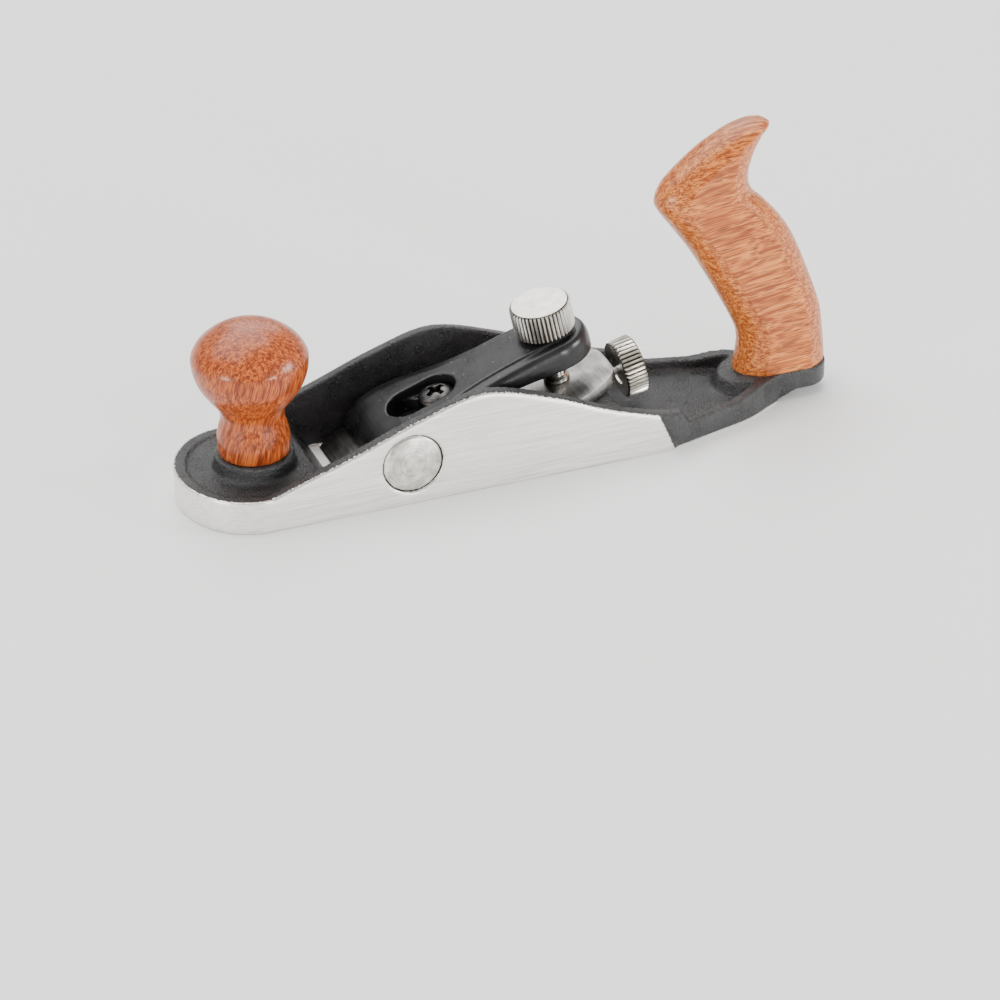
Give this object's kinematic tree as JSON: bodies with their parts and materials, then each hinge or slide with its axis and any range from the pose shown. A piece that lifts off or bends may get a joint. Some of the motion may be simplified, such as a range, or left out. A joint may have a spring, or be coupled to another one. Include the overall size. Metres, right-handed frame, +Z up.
{
  "type": "bevel-up bench plane",
  "caption": "Small iron-bodied bevel-up plane with a turned wooden front knob, a wooden rear tote, a keyhole lever cap and a screw adjuster behind the blade.",
  "frame": {"origin": "middle of the sole: half way along the body, on its centre line, at the height of the sole", "axes": "+X from the toe to the heel, +Y to the plane's right as it is pushed with the toe first, +Z up, away from the sole"},
  "size_m": [0.09, 0.0206, 0.0401],
  "materials": {
    "casting": "black enamel over cast iron, sole and sides ground bright",
    "cap_paint": "satin black enamel",
    "bright_steel": "turned bright steel",
    "tool_steel": "surface-ground tool steel",
    "blackened_steel": "black oxide",
    "nickel": "nickel plate, straight knurl",
    "brass": "turned brass",
    "knob_wood": "oiled reddish hardwood",
    "tote_wood": "oiled reddish hardwood, grain along the horn"
  },
  "bodies": {
    "body": {"plane_body": "casting", "guide_plug_left": "bright_steel", "guide_plug_right": "bright_steel", "front_knob": "knob_wood", "knob_insert": "brass", "knob_screw": "bright_steel", "tote": "tote_wood", "tote_insert": "brass", "tote_screw": "bright_steel", "tote_pin": "bright_steel", "hold_down_screw": "blackened_steel"},
    "swivel": {"adjuster_post": "brass"},
    "adjuster_screw": {"adjuster_rod": "bright_steel", "adjuster_wheel": "nickel", "rod_collar_front": "blackened_steel", "rod_collar_rear": "blackened_steel"},
    "carrier": {"blade_carrier": "brass"},
    "blade": {"blade": "tool_steel"},
    "cap": {"lever_cap": "cap_paint"},
    "clamp_foot": {"clamp_foot": "bright_steel"},
    "clamp_screw": {"clamp_knob": "nickel"}
  },
  "joints": [
    {"name": "side_adjust", "type": "hinge", "parent": "body", "child": "swivel", "pos_m": [0.00871, 0, 0.00616], "axis": [-0.2079, 0, 0.9781], "range_deg": [-3, 3]},
    {"name": "wheel_turn", "type": "hinge", "parent": "swivel", "child": "adjuster_screw", "pos_m": [0.00871, 0, 0.00616], "axis": [0.9781, 0, 0.2079], "range_deg": [-900, 900]},
    {"name": "depth_travel", "type": "slide", "parent": "swivel", "child": "carrier", "axis": [-0.9781, 0, -0.2079], "range_m": [-0.00087, 0.00087]},
    {"name": "blade_swing", "type": "hinge", "parent": "carrier", "child": "blade", "pos_m": [0.00186, 0, 0.0047], "axis": [-0.2079, 0, 0.9781], "range_deg": [-4.3, 4.3]},
    {"name": "cap_release", "type": "slide", "parent": "body", "child": "cap", "axis": [0.9781, 0, 0.2079], "range_m": [0, 0.004]},
    {"name": "clamp_lift", "type": "slide", "parent": "cap", "child": "clamp_foot", "axis": [-0.2079, 0, 0.9781], "range_m": [0, 0.0015]},
    {"name": "clamp_turn", "type": "hinge", "parent": "clamp_foot", "child": "clamp_screw", "pos_m": [0.00695, 0, 0.0065], "axis": [-0.2079, 0, 0.9781], "range_deg": [0, 1080]}
  ],
  "couplings": [
    {"joint": "wheel_turn", "follows": "depth_travel", "rad_per_m": 17952},
    {"joint": "blade_swing", "follows": "side_adjust", "ratio": -1.384},
    {"joint": "clamp_turn", "follows": "clamp_lift", "rad_per_m": 12566}
  ]
}
